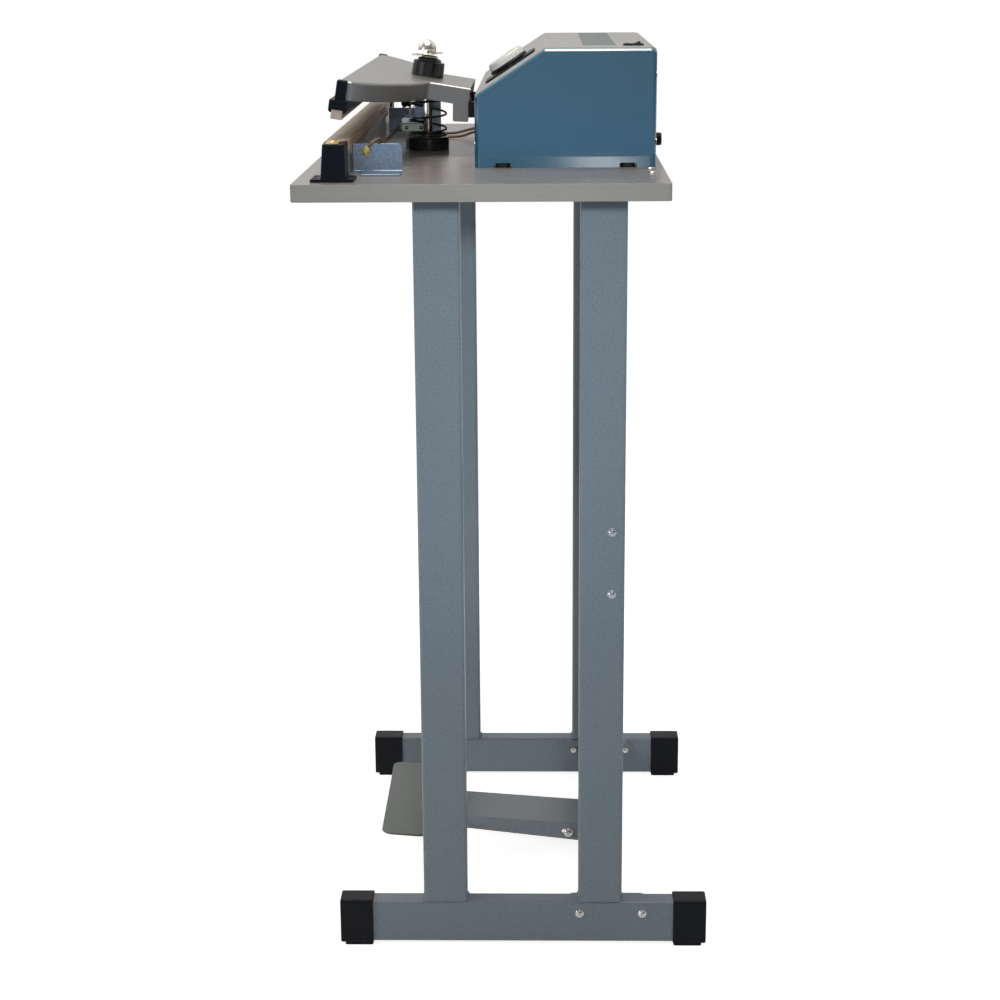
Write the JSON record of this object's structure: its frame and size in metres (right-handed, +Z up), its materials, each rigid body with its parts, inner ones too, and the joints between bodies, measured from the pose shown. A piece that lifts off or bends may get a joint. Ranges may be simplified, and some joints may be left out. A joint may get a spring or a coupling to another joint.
{
  "type": "impulse heat sealer",
  "caption": "Foot-pedal impulse heat sealer: a sealing jaw and control box on a laminated table, carried by a tubular stand with a pull rod down to a pedal.",
  "frame": {"origin": "on the floor, under the middle of the machine's bounding box", "axes": "+Z up, +X to the operator's right along the sealing jaw, +Y away from the operator, towards the control box"},
  "size_m": [0.754, 0.44, 1.0174],
  "materials": {
    "stand_paint": "satin hammered grey-blue powder coat",
    "pedal_paint": "satin grey powder coat",
    "box_paint": "glossy metallic teal-blue paint",
    "panel_paint": "satin warm grey paint",
    "arm_paint": "satin metallic grey paint",
    "table_board": "glossy grey laminate on board",
    "black_plastic": "moulded black",
    "pale_plastic": "moulded pale grey",
    "zinc_sheet": "zinc-plated sheet",
    "bare_steel": "bright zinc or bare steel",
    "chrome": "polished chrome",
    "brass": "worn brass",
    "aluminium_bar": "mill finish",
    "coated_cloth": "brown glass cloth with a slippery coating",
    "silicone": "pale silicone rubber",
    "lead_sleeve": "brown sleeved lead",
    "black_metal": "black enamel",
    "circuit_board": "green board with its relay",
    "winding": "varnished core and wound coil"
  },
  "bodies": {
    "stand": {"leg_front_right": "stand_paint", "leg_rear_right": "stand_paint", "foot_bar_right": "stand_paint", "foot_cap_front_right": "black_plastic", "foot_cap_rear_right": "black_plastic", "top_plate_right": "stand_paint", "leg_front_left": "stand_paint", "leg_rear_left": "stand_paint", "foot_bar_left": "stand_paint", "foot_cap_front_left": "black_plastic", "foot_cap_rear_left": "black_plastic", "top_plate_left": "stand_paint", "rear_crossmember": "stand_paint", "pedal_crossmember": "stand_paint", "tabletop": "table_board", "box_side_right": "box_paint", "box_side_left": "box_paint", "box_panel": "panel_paint", "box_base": "zinc_sheet", "transformer": "winding", "timer_board": "circuit_board", "dial_plate": "black_plastic", "timer_potentiometer": "bare_steel", "power_switch": "black_plastic", "cord_inlet": "black_plastic", "seal_bar": "aluminium_bar", "heating_strip": "bare_steel", "heat_cloth": "coated_cloth", "end_block_right": "black_plastic", "terminal_right": "brass", "end_bracket_right": "zinc_sheet", "end_block_left": "black_plastic", "terminal_left": "brass", "end_bracket_left": "zinc_sheet", "feed_lead_right": "lead_sleeve", "feed_lead_left": "lead_sleeve", "hinge_bracket": "zinc_sheet", "hinge_pin": "bare_steel", "spring_seat": "black_plastic", "return_spring": "black_metal", "microswitch": "pale_plastic", "switch_plate": "zinc_sheet", "pedal_pivot_bolt": "bare_steel"},
    "upper_arm": {"arm": "arm_paint", "press_bar": "black_metal", "silicone_strip": "silicone", "arm_cap_right": "black_plastic", "arm_cap_left": "black_plastic", "arm_bush": "black_plastic", "rod_washer": "chrome"},
    "rod": {"pull_rod": "chrome", "cap_nut": "chrome"},
    "pedal": {"pedal_arm": "pedal_paint", "pedal_plate": "pedal_paint", "rod_link_pin": "bare_steel"},
    "switch_lever": {"microswitch_lever": "bare_steel"},
    "knob": {"timer_knob": "pale_plastic"},
    "rocker": {"power_rocker": "black_plastic"}
  },
  "joints": [
    {"name": "arm_swing", "type": "hinge", "parent": "stand", "child": "upper_arm", "pos_m": [0, -0.057, 0.94], "axis": [1, 0, 0], "range_deg": [0, 9.2], "stiffness_Nm_per_rad": 22, "springref_deg": -20.05},
    {"name": "rod_pull", "type": "slide", "parent": "stand", "child": "rod", "axis": [0, 0, -1], "range_m": [0, 0.0077], "deforming": ["return_spring"]},
    {"name": "pedal_press", "type": "hinge", "parent": "stand", "child": "pedal", "pos_m": [0, 0.0636, 0.0391], "axis": [1, 0, 0], "range_deg": [0, 2.7]},
    {"name": "lever_press", "type": "hinge", "parent": "stand", "child": "switch_lever", "pos_m": [-0.033, -0.127, 0.9243], "axis": [-1, 0, 0], "range_deg": [0, 12.1]},
    {"name": "knob_turn", "type": "hinge", "parent": "stand", "child": "knob", "pos_m": [0.107, -0.0025, 0.98875], "axis": [0, 0.543, -0.8397], "range_deg": [0, 300]},
    {"name": "rocker_flip", "type": "hinge", "parent": "stand", "child": "rocker", "pos_m": [0.16, 0.131, 1.013], "axis": [-1, 0, 0], "range_deg": [0, 14]}
  ],
  "couplings": [
    {"joint": "rod_pull", "follows": "arm_swing", "m_per_rad": 0.047331},
    {"joint": "pedal_press", "follows": "arm_swing", "ratio": 0.28804},
    {"joint": "lever_press", "follows": "arm_swing", "ratio": 1.3043}
  ]
}
